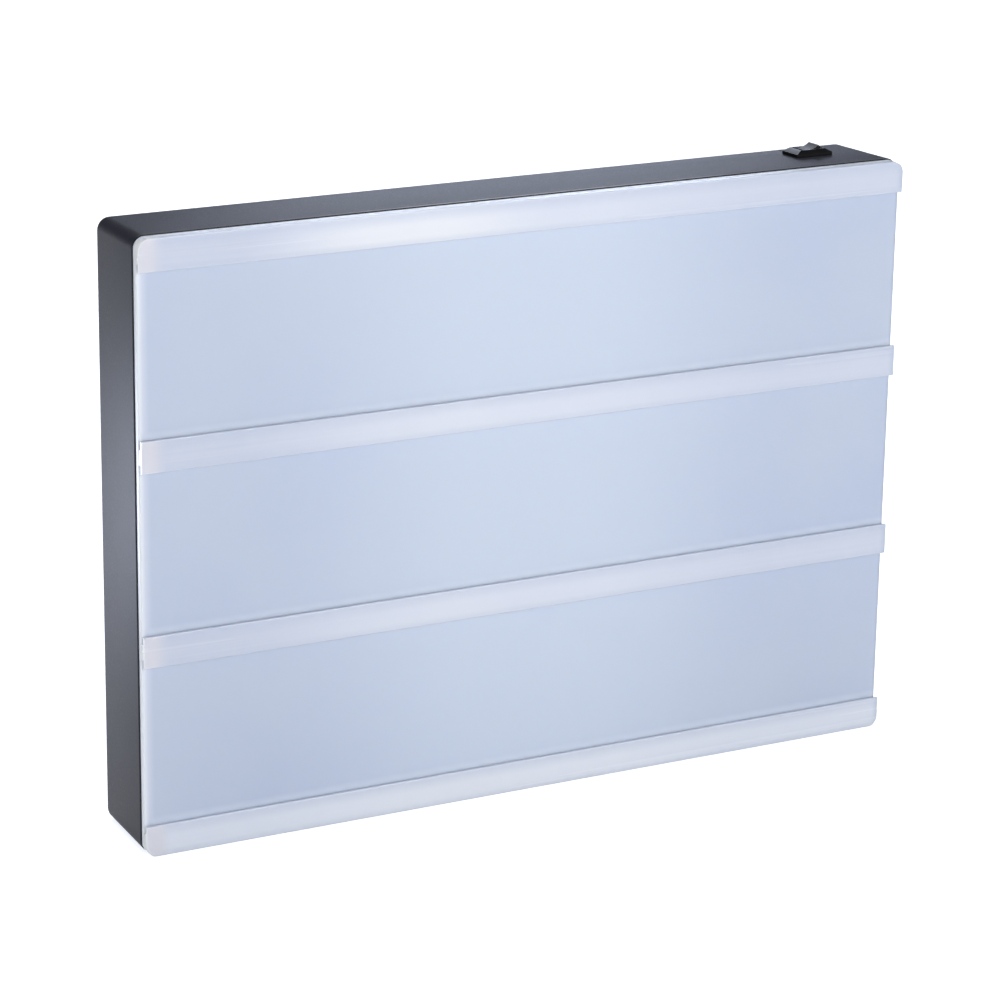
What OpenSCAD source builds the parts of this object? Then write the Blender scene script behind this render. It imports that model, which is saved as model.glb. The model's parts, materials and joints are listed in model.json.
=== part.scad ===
// Cinema light box: a drafted tray, a milky front panel and four letter rails that hold cards.
// Millimetres. +X is right, +Y is towards the back and +Z is up.
// The origin is the middle of the footprint, on the surface that the box stands on.

/* [Box] */
// Width across the front panel
box_w = 300; // [280:1:340]
// Height of the front panel
box_h = 220; // [214:1:260]
// Depth from the faces of the letter rails to the back
box_d = 40; // [39:0.5:46]
// Radius of the four corners, seen from the front
corner_r = 4; // [3:0.5:6]
// How far the sides and the top draw in towards the back
draft = 1.2; // [0.6:0.1:1.8]

/* [Front panel] */
// Thickness of the milky plate
plate_t = 2.4; // [2:0.1:3]
// Softening of the plate's front edge
plate_edge = 0.4; // [0.2:0.1:0.8]
// Thickness of the rim behind the plate
rim_t = 1.5; // [1.2:0.1:2]
// How far the rim reaches into the tray
rim_depth = 5; // [3:0.5:6]
// Clearance between the rim and the tray's walls
rim_gap = 0.4; // [0.3:0.05:0.6]
// Shadow gap between the plate and the tray
seam_gap = 0.3; // [0.2:0.05:0.5]

/* [Letter rails] */
// Height of a rail's front flange
rail_h = 11.5; // [10:0.5:13]
// Thickness of the flange
flange_t = 1.1; // [0.9:0.1:1.4]
// Depth of the channel that a letter card slides in
channel_t = 1.3; // [1:0.1:1.6]
// How far the flange overhangs a card's edge
overhang = 3; // [2:0.25:3.5]
// Softening of the flange's edges
rail_edge = 0.4; // [0.2:0.05:0.45]

/* [Rear housing] */
// How far the sides and the top stand proud of the panel's edge, at the front
rim_proud = 0.4; // [0:0.1:0.8]
// Rounding of the rim at the front
rim_edge = 0.5; // [0.3:0.1:0.8]
// Thickness of the side and top walls
wall_t = 2.6; // [2.4:0.1:3]
// Thickness of the back wall
back_t = 2.2; // [2:0.1:2.6]
// Rounding of the edge round the back
back_edge = 1.5; // [0.8:0.1:2]
// Height of the stiffening ribs on the back wall
rib_h = 3; // [2.6:0.1:3.4]
// Thickness of a rib
rib_t = 1.2; // [1:0.1:1.6]
// Thickness of moulded inner walls
inner_wall = 1.6; // [1.2:0.1:1.8]

/* [Panel screws] */
// Distance of the corner posts from the sides
post_side = 12; // [11:0.5:16]
// Distance of the posts from the top and bottom edges
post_edge = 7.5; // [7.5:0.25:8.5]
// Diameter of a post behind the panel
post_d = 5.6; // [5.2:0.1:6]
// Diameter of the tray's screw tubes
tube_d = 9; // [8.6:0.1:9.4]
// Diameter of the panel screws
screw_d = 2.6; // [2.2:0.1:2.8]
// Diameter of the panel screws' heads
screw_head_d = 5.2; // [4.8:0.1:5.4]

/* [Battery bay] */
// Diameter of one cell
cell_d = 14.5; // [14.2:0.1:14.8]
// Length of one cell
cell_l = 50.5; // [50:0.5:52]
// Spacing of the cells
cell_pitch = 15; // [15:0.1:15.6]
// Height of the bay's middle above the stand
bay_z = 88; // [84:1:94]
// Extra length for the contacts at both ends of a cell
contact_room = 6.5; // [6:0.25:8]
// Thickness of the battery door
door_t = 2; // [1.6:0.1:2.2]
// Gap round the battery door
door_gap = 0.35; // [0.3:0.05:0.5]
// Free length of a contact spring
spring_l = 8; // [7:0.5:9]
// Wire diameter of a contact spring
spring_wire = 0.8; // [0.6:0.1:0.9]

/* [Lighting] */
// Width of a light strip
strip_w = 8; // [7:0.5:10]
// Thickness of a light strip
strip_t = 1; // [0.8:0.1:1.2]
// Spacing of the light chips
chip_pitch = 24; // [23:0.5:25]
// Thickness of the white reflector
reflector_t = 0.4; // [0.3:0.1:0.5]

/* [Rocker switch] */
// Distance of the switch's middle from the right side
switch_side = 25; // [24:0.5:40]
// Middle of the switch, behind the middle of the box
switch_y = 6; // [5:0.5:8]
// Length of the bezel
bezel_l = 15; // [14.4:0.1:16]
// Width of the bezel
bezel_w = 10.4; // [10:0.1:11]
// How far the rocker turns from one side to the other, in degrees
rocker_throw = 24; // [16:1:26]

/* [Wall hooks] */
// Spacing of the two keyholes
keyhole_span = 200; // [180:1:210]
// Diameter of a keyhole's entry
keyhole_d = 8; // [7:0.1:8.4]
// Width of a keyhole's slot
keyhole_slot = 4.2; // [3.6:0.1:4.6]
// Distance of the entries below the top
keyhole_drop = 24; // [23:0.5:26]

/* [Power inlet] */
// Distance of the inlet's middle from the right side
inlet_side = 38; // [36:1:42]
// Height of the inlet
inlet_z = 74; // [70:1:78]
// Diameter of the inlet's centre pin
inlet_pin_d = 2; // [1.9:0.05:2.1]
// Diameter of the inlet's bore
inlet_bore_d = 5.7; // [5.5:0.1:5.9]

/* [Hidden] */

$fn = 48;
hull_fn = 32;
slice = 0.02;                               // thickness of the slices that a hull joins
cut = 1;                                    // how far a cut runs past what it cuts
touch = 0.3;                                // clearance between parts that only lie close
rows = 3;                                   // windows for cards
cells = 6;
cell_free = 0.6;                            // play round a cell

slate = [0.33, 0.35, 0.40];
milk = [0.80, 0.85, 0.92];
gloss_milk = [0.88, 0.90, 0.95];
steel = [0.75, 0.76, 0.78];
brass = [0.80, 0.68, 0.38];
board_white = [0.93, 0.94, 0.92];
black = [0.06, 0.06, 0.07];

switch_x = box_w / 2 - switch_side;
inlet_x = box_w / 2 - inlet_side;

// Planes from front to back
front_y = -box_d / 2;
back_y = box_d / 2;
face_y = front_y + flange_t + channel_t;    // front face of the plate
seat_y = face_y + plate_t;                  // back face of the plate
mouth_y = seat_y + seam_gap;                // front rim of the tray
floor_y = back_y - back_t;                  // inner face of the back wall
sheet_back_y = floor_y - rib_h;             // where the reflector lies on the ribs
sheet_y = sheet_back_y - reflector_t;       // front of the reflector, where the strips sit
strip_y = sheet_y - strip_t;                // front of the light strips
post_l = 13;                                // length of the panel's posts
post_seat_y = seat_y + post_l;              // where the posts meet the tray's screw tubes

function draw_in(y) = draft * (y - mouth_y) / (back_y - mouth_y);
function skin_in(y) = draw_in(y) - rim_proud;
function top_z(y) = box_h - skin_in(y);
top_tilt = atan(draft / (back_y - mouth_y));

wall_in = wall_t - rim_proud;               // from the panel's outline to the tray's inner faces
inner_r = 2.2;                              // radius of the tray's inner corners
rim_r = 2;                                  // outer and inner radius of the rim's corners
rim_inner_r = 1;
rib_side = 74;                              // distance of the upright ribs from the sides
rib_bay_gap = 3;                            // distance of the level ribs from the bay's recess
rib_top_gap = 12;                           // distance of the middle rib from the top

rail_pitch = (box_h - rail_h) / rows;
post_x = box_w / 2 - post_side;
posts = [for (side = [-1, 0, 1], up = [0, 1]) [side * post_x, up ? box_h - post_edge : post_edge]];
screw_seat = 2.4;                           // plastic under a panel screw's head
screw_head_t = 1.8;
screw_bite = 8;                             // how far a panel screw reaches into its post
post_skin = 2;                              // plate and plastic in front of a post's pilot hole
shank_gap = 0.3;                            // clearance round a panel screw's shank
head_gap = 0.4;                             // clearance round its head
thread_gap = 0.04;

// Battery bay: the door's recess runs past the bay to hold the hinge tabs and the latch
ledge_y = back_y - door_t - 0.3;
lane_r = (cell_d + cell_free) / 2;
lane_y = ledge_y - lane_r;
ridge_y = lane_y - lane_r + 3;              // tops of the ridges between the cells
bay_half = (cells - 1) / 2 * cell_pitch + lane_r;
bay_l = cell_l + contact_room;
bay_z0 = bay_z - bay_l / 2;
bay_z1 = bay_z + bay_l / 2;
ledge = 2;
hinge_ledge = 6.5;
latch_room = 9;
recess_half = bay_half + ledge;
recess_z0 = bay_z0 - hinge_ledge;
recess_z1 = bay_z1 + inner_wall + latch_room;
recess_r = 2;
tab_x = 30;
tab_w = 10;
tab_t = 1.2;
tab_reach = 3;
tab_root = 2;
tab_y = floor_y - touch - tab_t;            // inner face of the hinge tabs
tab_swing = 5.1;                            // how deep the tabs reach as the door opens
latch_depth = 8;
latch_half = 12;
tab_side_gap = 0.4;                         // clearance round a hinge tab in its slot
hook_half = 6;                              // half width of the latch's hook
hook_lap = 0.9;                             // how far the hook reaches behind the recess's edge
contact_t = 0.4;
contact_w = 11;
nub_d = 5;
nub_t = 0.8;
lug_half = 1.6;                             // half width of the lugs that the bay's leads meet
lug_y = ridge_y + 0.8;                      // front face of a lug
lug_l = 4;
spring_r0 = 4.2;                            // radius of the spring's foot
spring_r1 = 2.8;                            // radius of its tip
spring_turns = 5;

function lane_x(i) = (i - (cells - 1) / 2) * cell_pitch;

// Light strips: two long ones and a short one on each side of the battery bay
strip_l = box_w - 32;
short_l = 76;
short_x = strip_l / 2 - short_l / 2;
strip_top_z = box_h - rail_h - (rail_pitch - rail_h) / 2 + 3.5;
strip_low_z = rail_h + (rail_pitch - rail_h) / 2 - 3.5;
strip_mid_z = box_h / 2;
long_screws = [-4.5 * chip_pitch, 4.5 * chip_pitch];
boss_d = 5;
board_post_d = 5.6;
small_screw_d = 1.9;
small_head_d = 3.8;
small_head_t = 1.2;
hole_gap = 0.25;                            // clearance round a screw or a tag in a board
chip_w = 3.5;
chip_h = 2.8;
chip_t = 0.8;
chip_wall = 0.3;                            // rim and depth of the dish in a chip's face

// Control board behind the panel, which carries the inlet
board_t = 1.6;
jack_l = 11;
board_back_y = floor_y - touch - jack_l;
board_y = board_back_y - board_t;
board_size = [36, 26];
board_posts = [[inlet_x - 14, inlet_z + 9], [inlet_x + 14, inlet_z - 9]];
jack_w = 9;
nose_d = 7.6;
nose_l = floor_y - board_back_y - touch + back_t + 0.1;
bore_floor_y = board_back_y + 3;            // bottom of the inlet's bore
inlet_tail_d = inlet_pin_d - 0.4;           // thinner tail of the centre pin, behind its shoulder
tag_x = 3;                                  // the two blades beside the inlet's bore
tag_t = 0.5;
tag_w = 1.9;
tag_l = 7.6;
tag_out = 0.8;                              // how far pins and blades stand out of the board
board_part_d = 2.3;                         // resistors
board_part_l = 6;
board_part_gap = 0.25;                      // air between a resistor and the board
board_part_in = 7;                          // first resistor, from the board's left side
board_part_drop = 5.5;                      // first resistor, below the inlet's middle
board_part_step = 10;                       // spacing of the resistors along X
board_part_row = 4;                         // spacing of their rows
wire_end_d = 0.6;
plug_block = [12, 5, 5];                    // block that the feed leads plug into
plug_side = 2;                              // how far it reaches to the left of the inlet's middle
plug_rise = 5;                              // how far it sits above it

// Switch, drawn about its own middle on the top face of the tray
body_l = 13;
body_w = 8.4;
body_depth = 10.8;
mouth_l = bezel_l - 5.4;
mouth_w = 6.9;
bezel_side = 1.2;
bezel_crown = 2.4;
pivot_z = 0.2;
pivot_r = 1;
pivot_gap = 0.05;
rocker_r = mouth_l / 2 - 0.15;
rocker_w = mouth_w - 0.3;
rest_tilt = rocker_throw / 2;
lever_z = -8.8;                             // the lever's knife edge
lever_t = 0.4;
lever_half = 4.4;
side_blade_x = -lever_half + 0.4;
lever_bend = 8;
blade_w = 4.8;
blade_t = 0.8;
blade_l = 6.5;

// Keyholes
keyhole_z = box_h - keyhole_drop;
keyhole_rise = 8;
head_room = 3.3;                            // depth of the pocket for a hook's head
pocket_d = keyhole_d + 1.2;

wire_d = 1.2;
lead_y = strip_y - wire_d / 2 - 0.05;       // wires lie on the strips' faces
lead_x = strip_l / 2 + 5.5;                 // wires run down both sides of the strips
lead_step = 2.2;                            // spacing of two wires that run side by side
lead_end_in = 2;                            // how far a wire runs over the end of a board
board_lead_y = board_y - wire_d / 2 - 0.05; // wires end on the face of the control board
feed_side = 4.5;                            // first feed lead, right of the inlet's middle
feed_rise = 10;                             // how far the feed leads stand up from the plug block
battery_lead_rise = 6;                      // top run of the battery leads, above the bay's lugs
battery_lead_end = 3;                       // where they meet the board, above the inlet's middle
switch_lead_drop = 3;                       // straight length of the switch leads at the terminals
switch_lead_end = 4;                        // where they meet the board, above the inlet's middle
hop_first = 1.2;                            // first and further wire of a hop, from a strip's middle
hop_step = 1.8;

// ---- helpers ----

// Extrudes a shape drawn in X and Z from y0 to y1
module slab(y0, y1) {
    translate([0, y1, 0]) rotate([90, 0, 0]) linear_extrude(y1 - y0) children();
}

// A rectangle with round corners, from (x0, z0) to (x1, z1)
module soft_rect(x0, z0, x1, z1, r) {
    translate([x0 + r, z0]) square([x1 - x0 - 2 * r, z1 - z0]);
    translate([x0, z0 + r]) square([x1 - x0, z1 - z0 - 2 * r]);
    for (x = [x0 + r, x1 - r], z = [z0 + r, z1 - r]) translate([x, z]) circle(r);
}

// The box's outline drawn in by side and top, and by low at the bottom
module outline(side, low, r) {
    soft_rect(-box_w / 2 + side, low, box_w / 2 - side, box_h - side, r);
}

module rod_y(x, z, d, y0, y1) {
    translate([x, y1, z]) rotate([90, 0, 0]) cylinder(d = d, h = y1 - y0);
}

module block(x0, x1, y0, y1, z0, z1) {
    translate([x0, y0, z0]) cube([x1 - x0, y1 - y0, z1 - z0]);
}

// A round wire through points, with round elbows
module wire(points, d) {
    for (i = [0 : len(points) - 2]) {
        run = points[i + 1] - points[i];
        l = norm(run);
        translate(points[i]) rotate([0, acos(run[2] / l), atan2(run[1], run[0])])
            cylinder(d = d, h = l, $fn = 16);
    }
    for (i = [1 : 1 : len(points) - 2]) translate(points[i]) sphere(d = d, $fn = 16);
}

// Points along a conical coil: a straight foot, the curls, and a straight end
function coil_path(r0, r1, l, turns, d) = let(
    n = turns * 8,
    curls = [for (i = [0 : n]) let(a = 45 * i, f = i / n, r = r0 + (r1 - r0) * f)
        [r * cos(a), r * sin(a), d + (l - 1.5 * d) * f]],
    last = curls[n] - curls[n - 1]
) concat([[r0, 0, 0]], curls, [curls[n] + [0, d, 0] * sign(last[1])]);

function unit(v) = v / norm(v);

// Least space between one curl and the next
function coil_gap(path, d) = min([for (i = [1 : len(path) - 7], j = [i + 5 : len(path) - 2])
    norm(path[i] - path[j])]) - d;

// One unbroken tube of six sides along a coil's points
module coil(path, d) {
    n = len(path);
    sides = 6;
    rings = [for (i = [0 : n - 1]) let(
        t = unit(path[min(i + 1, n - 1)] - path[max(i - 1, 0)]),
        out = unit([path[i][0], path[i][1], 0]),
        across = unit(out - (out * t) * t),
        up = cross(t, across)
    ) for (k = [0 : sides - 1]) path[i] + d / 2 * (cos(60 * k) * across + sin(60 * k) * up)];
    skin = [for (i = [0 : n - 2], k = [0 : sides - 1]) let(
        a = i * sides + k,
        b = i * sides + (k + 1) % sides
    ) each [[a, a + sides, b], [b, a + sides, b + sides]]];
    foot = [for (k = [1 : sides - 2]) [0, k, k + 1]];
    tip = [for (k = [1 : sides - 2]) [n * sides - sides, n * sides - sides + k + 1,
        n * sides - sides + k]];
    polyhedron(rings, concat(skin, foot, tip));
}

// ---- tray ----

// A slice of the tray that ends at y, drawn in by the draft and by inset
module shell_slice(y, inset) {
    slab(y - slice, y) outline(skin_in(y) + inset, inset, corner_r + rim_proud);
}

module housing_shell() {
    difference() {
        hull() {
            $fn = hull_fn;
            for (a = [0 : 22.5 : 90]) {
                shell_slice(mouth_y + slice + rim_edge * (1 - sin(a)), rim_edge * (1 - cos(a)));
                shell_slice(back_y - back_edge * (1 - sin(a)), back_edge * (1 - cos(a)));
            }
        }
        hull() {
            $fn = hull_fn;
            slab(mouth_y - cut, mouth_y - cut + slice) outline(wall_in, wall_in, inner_r);
            slab(floor_y - slice, floor_y) outline(wall_in + draw_in(floor_y), wall_in, inner_r);
        }
    }
}

module ribs() {
    sink = wall_in / 2;
    reach = box_w / 2 - draft - sink;
    for (z = [strip_low_z, strip_top_z, (strip_top_z + recess_z1) / 2])
        block(-reach, reach, sheet_back_y, floor_y + cut / 2, z - rib_t / 2, z + rib_t / 2);
    for (s = [-1, 1]) {
        near = recess_half + rib_bay_gap;
        block(min(s * near, s * reach), max(s * near, s * reach), sheet_back_y, floor_y + cut / 2,
            strip_mid_z - rib_t / 2, strip_mid_z + rib_t / 2);
        translate([s * (box_w / 2 - rib_side), 0, 0]) block(-rib_t / 2, rib_t / 2, sheet_back_y,
            floor_y + cut / 2, sink, box_h - draft - sink);
    }
    block(-rib_t / 2, rib_t / 2, sheet_back_y, floor_y + cut / 2, recess_z1, box_h - rib_top_gap);
}

module strip_bosses(d, y0, y1) {
    for (x = long_screws, z = [strip_low_z, strip_top_z]) rod_y(x, z, d, y0, y1);
    for (s = [-1, 1], i = [-0.5, 0.5]) rod_y(s * (short_x + i * chip_pitch), strip_mid_z, d, y0, y1);
}

// Walls round the battery bay, the latch pocket and the slots of the hinge tabs
module bay_walls() {
    w = inner_wall;
    block(-recess_half - w, recess_half + w, ledge_y - w, floor_y + cut / 2,
        recess_z0 - w, recess_z1 + w);
    block(-bay_half - w, bay_half + w, lane_y - lane_r - w, floor_y, bay_z0 - w, bay_z1 + w);
    block(-latch_half - w, latch_half + w, ledge_y - latch_depth - w, floor_y, bay_z1, recess_z1 + w);
    slot_half = tab_w / 2 + tab_side_gap + w;
    for (s = [-1, 1]) block(s * tab_x - slot_half, s * tab_x + slot_half, back_y - tab_swing - w,
        floor_y, recess_z0 - tab_reach - tab_side_gap - w, bay_z0);
}

module bay_cuts() {
    slab(ledge_y, back_y + cut)
        soft_rect(-recess_half, recess_z0, recess_half, recess_z1, recess_r);
    block(-bay_half, bay_half, ridge_y, ledge_y + cut / 2, bay_z0, bay_z1);
    for (i = [0 : cells - 1]) translate([lane_x(i), lane_y, bay_z0]) cylinder(r = lane_r, h = bay_l);
    block(-latch_half, latch_half, ledge_y - latch_depth, ledge_y + cut / 2,
        bay_z1 + inner_wall, recess_z1);
    block(-hook_half - tab_side_gap, hook_half + tab_side_gap, ledge_y - 2.5, floor_y,
        recess_z1 - cut / 2, recess_z1 + hook_lap + tab_side_gap);
    slot_half = tab_w / 2 + tab_side_gap;
    for (s = [-1, 1]) block(s * tab_x - slot_half, s * tab_x + slot_half, back_y - tab_swing,
        floor_y, recess_z0 - tab_reach - tab_side_gap, bay_z0 - inner_wall);
    for (i = [0, cells - 1])
        block(lane_x(i) - lug_half - tab_side_gap, lane_x(i) + lug_half + tab_side_gap,
            lug_y - tab_side_gap, lug_y + contact_t + tab_side_gap,
            bay_z1 - cut / 2, bay_z1 + inner_wall + cut / 2);
}

// The outline of a keyhole's round entry and the slot above it
module keyhole_shape(d, slot) {
    circle(d = d);
    translate([-slot / 2, 0]) square([slot, keyhole_rise]);
    translate([0, keyhole_rise]) circle(d = slot);
}

module keyhole_pockets() {
    w = pocket_d / 2 + inner_wall;
    for (s = [-1, 1]) translate([s * keyhole_span / 2, 0, keyhole_z])
        block(-w, w, floor_y - head_room - 1.2, floor_y + cut / 2, -w, keyhole_rise + w);
}

module keyhole_cuts() {
    for (s = [-1, 1]) translate([s * keyhole_span / 2, 0, keyhole_z]) {
        slab(floor_y - cut / 2, back_y + cut) keyhole_shape(keyhole_d, keyhole_slot);
        slab(floor_y - head_room, floor_y) keyhole_shape(pocket_d, pocket_d);
    }
}

module rear_housing() color(slate) difference() {
    union() {
        housing_shell();
        ribs();
        strip_bosses(boss_d, sheet_y, floor_y + cut / 2);
        for (p = posts) rod_y(p[0], p[1], tube_d, post_seat_y, floor_y + cut / 2);
        for (p = board_posts) rod_y(p[0], p[1], board_post_d, board_back_y, floor_y + cut / 2);
        bay_walls();
        keyhole_pockets();
    }
    for (p = posts) {
        rod_y(p[0], p[1], screw_d + 2 * shank_gap, post_seat_y - cut, back_y);
        rod_y(p[0], p[1], screw_head_d + 2 * head_gap, post_seat_y + screw_seat, back_y + cut);
    }
    strip_bosses(small_screw_d + 2 * thread_gap, sheet_y - cut, floor_y - 0.2);
    for (p = board_posts)
        rod_y(p[0], p[1], small_screw_d + 2 * thread_gap, board_back_y - cut, floor_y - 2);
    bay_cuts();
    keyhole_cuts();
    rod_y(inlet_x, inlet_z, nose_d + 0.4, floor_y - cut, back_y + cut);
    at_switch() translate([-body_l / 2 - 0.1, -body_w / 2 - 0.1, -2 * wall_t])
        cube([body_l + 0.2, body_w + 0.2, 4 * wall_t]);
}

// ---- front ----

module front_panel() color(milk) difference() {
    union() {
        hull() {
            $fn = hull_fn;
            slab(face_y, face_y + slice) outline(plate_edge, plate_edge, corner_r - plate_edge);
            slab(face_y + plate_edge, seat_y) outline(0, 0, corner_r);
        }
        slab(seat_y - slice, seat_y + rim_depth) difference() {
            rim = wall_in + rim_gap;
            outline(rim, rim, rim_r);
            outline(rim + rim_t, rim + rim_t, rim_inner_r);
        }
        for (p = posts) rod_y(p[0], p[1], post_d, seat_y - slice, post_seat_y);
    }
    for (p = posts) rod_y(p[0], p[1], screw_d + 2 * thread_gap, face_y + plate_t + post_skin,
        post_seat_y + cut);
}

// A rail's section in depth and height, with its middle at height 0.
// The web is drawn in by low at the bottom and by high at the top.
module rail_section(low, high) {
    soft_rect(front_y, -rail_h / 2, front_y + flange_t, rail_h / 2, rail_edge);
    translate([front_y + flange_t / 2, -rail_h / 2 + low])
        square([flange_t / 2 + channel_t, rail_h - low - high]);
    if (low == 0) translate([front_y + flange_t / 2, -rail_h / 2]) square([flange_t / 2, rail_h / 2]);
    if (high == 0) translate([front_y + flange_t / 2, 0]) square([flange_t / 2, rail_h / 2]);
}

module rail(row, low, high) {
    color(gloss_milk) intersection() {
        translate([-box_w / 2, 0, row * rail_pitch + rail_h / 2])
            rotate([90, 0, 90]) linear_extrude(box_w) rail_section(low, high);
        slab(front_y - cut, face_y + cut) outline(0, 0, corner_r);
    }
}

module rail_top() { rail(rows, overhang, 0); }
module rail_upper() { rail(rows - 1, overhang, overhang); }
module rail_lower() { rail(1, overhang, overhang); }
module rail_bottom() { rail(0, 0, overhang); }

module screw(x, z, d, l, head_d, head_t, y) {
    difference() {
        union() {
            rod_y(x, z, d, y - l, y + slice);
            rod_y(x, z, head_d, y, y + head_t);
        }
        for (a = [0, 90]) translate([x, y + head_t, z]) rotate([0, a, 0])
            cube([head_d * 0.55, head_t, head_d * 0.14], center = true);
    }
}

module panel_screws() color(steel) for (p = posts)
    screw(p[0], p[1], screw_d, screw_seat + screw_bite, screw_head_d, screw_head_t,
        post_seat_y + screw_seat);

// ---- light ----

module reflector_sheet() color("white") {
    edge = wall_in + draw_in(sheet_back_y) + touch;
    w = inner_wall + touch;
    key_w = pocket_d / 2 + w;
    slab(sheet_y, sheet_back_y) difference() {
        outline(edge, wall_in + touch, 1.5);
        for (p = posts) translate(p) circle(d = tube_d + 2 * touch);
        for (p = board_posts) translate(p) circle(d = board_post_d + 2 * touch);
        for (x = long_screws, z = [strip_low_z, strip_top_z]) translate([x, z])
            circle(d = boss_d + 2 * touch);
        for (s = [-1, 1], i = [-0.5, 0.5]) translate([s * (short_x + i * chip_pitch), strip_mid_z])
            circle(d = boss_d + 2 * touch);
        low_z = recess_z0 - tab_reach - tab_side_gap - w;
        translate([-recess_half - w, low_z]) square([2 * (recess_half + w), recess_z1 + w - low_z]);
        for (s = [-1, 1]) translate([s * keyhole_span / 2 - key_w, keyhole_z - key_w])
            square([2 * key_w, keyhole_rise + 2 * key_w]);
        translate([inlet_x - jack_w / 2 - 0.5, inlet_z - jack_w / 2 - 0.5])
            square(jack_w + 1);
    }
}

// A strip centred at (x, z), with holes for its screws
module strip(x, z, l, holes) color(board_white) slab(strip_y, sheet_y) difference() {
    translate([x - l / 2, z - strip_w / 2]) square([l, strip_w]);
    for (h = holes) translate([h, z]) circle(d = small_screw_d + 2 * hole_gap);
}

// A row of count chips centred at (x, z)
module chips(x, z, count) color([0.95, 0.90, 0.60])
    for (i = [0 : count - 1]) translate([x + (i - (count - 1) / 2) * chip_pitch, 0, z])
        difference() {
            block(-chip_w / 2, chip_w / 2, strip_y - chip_t, strip_y, -chip_h / 2, chip_h / 2);
            rod_y(0, 0, chip_h - 2 * chip_wall, strip_y - chip_t - cut, strip_y - chip_t + chip_wall);
        }

function short_holes(s) = [s * (short_x - chip_pitch / 2), s * (short_x + chip_pitch / 2)];
module led_strip_top() { strip(0, strip_top_z, strip_l, long_screws); }
module led_strip_bottom() { strip(0, strip_low_z, strip_l, long_screws); }
module led_strip_left() { strip(-short_x, strip_mid_z, short_l, short_holes(-1)); }
module led_strip_right() { strip(short_x, strip_mid_z, short_l, short_holes(1)); }
module leds_top() { chips(0, strip_top_z, 11); }
module leds_bottom() { chips(0, strip_low_z, 11); }
module leds_left() { chips(-short_x, strip_mid_z, 3); }
module leds_right() { chips(short_x, strip_mid_z, 3); }

module small_screw(x, z, y, l) {
    mirror([0, 1, 0]) screw(x, z, small_screw_d, l, small_head_d, small_head_t, -y);
}

module board_screws() color(steel) {
    for (x = long_screws, z = [strip_low_z, strip_top_z]) small_screw(x, z, strip_y, 3.8);
    for (s = [-1, 1], x = short_holes(s)) small_screw(x, strip_mid_z, strip_y, 3.8);
    for (p = board_posts) small_screw(p[0], p[1], board_y, 6);
}

// ---- electrics ----

module control_board() color([0.12, 0.42, 0.28]) slab(board_y, board_back_y) difference() {
    translate([inlet_x - board_size[0] / 2, inlet_z - board_size[1] / 2]) square(board_size);
    for (p = board_posts) translate(p) circle(d = small_screw_d + 2 * hole_gap);
    translate([inlet_x, inlet_z]) circle(d = inlet_tail_d + 2 * hole_gap);
    for (s = [-1, 1]) translate([inlet_x + s * tag_x, inlet_z])
        square([tag_t + 2 * hole_gap, tag_w + 2 * hole_gap], center = true);
}

// Four resistors and the plug block for the leads
module board_parts() color([0.80, 0.70, 0.52]) {
    lift = board_part_d / 2 + board_part_gap;
    x0 = inlet_x - board_size[0] / 2 + board_part_in;
    z0 = inlet_z - board_part_drop;
    reach = board_part_l * 0.7;
    for (i = [0, 1], j = [0, 1])
        translate([x0 + i * board_part_step, board_y - lift, z0 - j * board_part_row]) {
            translate([-board_part_l / 2, 0, 0]) rotate([0, 90, 0])
                cylinder(d = board_part_d, h = board_part_l);
            translate([-reach, 0, 0]) rotate([0, 90, 0]) cylinder(d = wire_end_d, h = 2 * reach);
            for (x = [-reach, reach]) rod_y(x, 0, wire_end_d, -wire_end_d / 2, lift);
        }
    translate([inlet_x - plug_side, board_y - plug_block[1], inlet_z + plug_rise]) cube(plug_block);
}

module inlet_jack() color(black) difference() {
    union() {
        block(inlet_x - jack_w / 2, inlet_x + jack_w / 2, board_back_y, board_back_y + jack_l,
            inlet_z - jack_w / 2, inlet_z + jack_w / 2);
        rod_y(inlet_x, inlet_z, nose_d, board_back_y + cut, board_back_y + nose_l);
    }
    rod_y(inlet_x, inlet_z, inlet_bore_d, bore_floor_y, back_y + cut);
    rod_y(inlet_x, inlet_z, inlet_tail_d + 2 * thread_gap, board_back_y - cut, bore_floor_y + cut);
    for (s = [-1, 1]) translate([inlet_x + s * tag_x, 0, inlet_z])
        block(-tag_t / 2 - 0.1, tag_t / 2 + 0.1, board_back_y - cut, board_back_y + tag_l + 0.4,
            -tag_w / 2 - 0.1, tag_w / 2 + 0.1);
}

module inlet_pin() color(brass) {
    rod_y(inlet_x, inlet_z, inlet_tail_d, board_y - tag_out, bore_floor_y + slice);
    rod_y(inlet_x, inlet_z, inlet_pin_d, bore_floor_y, board_back_y + nose_l - 1);
}

// Two spring blades that touch the outside of a plug
module inlet_blades() color(steel) for (s = [-1, 1]) translate([inlet_x + s * tag_x, 0, inlet_z])
    block(-tag_t / 2, tag_t / 2, board_y - tag_out, board_back_y + tag_l, -tag_w / 2, tag_w / 2);

// A contact plate that spans the lanes from a to b, at the top or the bottom of the bay
module contact_plate(a, b, top) {
    z = top ? bay_z1 - contact_t : bay_z0;
    block(lane_x(a) - contact_w / 2, lane_x(b) + contact_w / 2, ridge_y + 0.2, ledge_y - 1.5,
        z, z + contact_t);
}

// A pressed nub for the positive end of a cell
module contact_nub(lane, top) {
    translate([lane_x(lane), lane_y, top ? bay_z1 - contact_t - nub_t : bay_z0])
        cylinder(d = nub_d, h = nub_t + contact_t);
}

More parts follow.
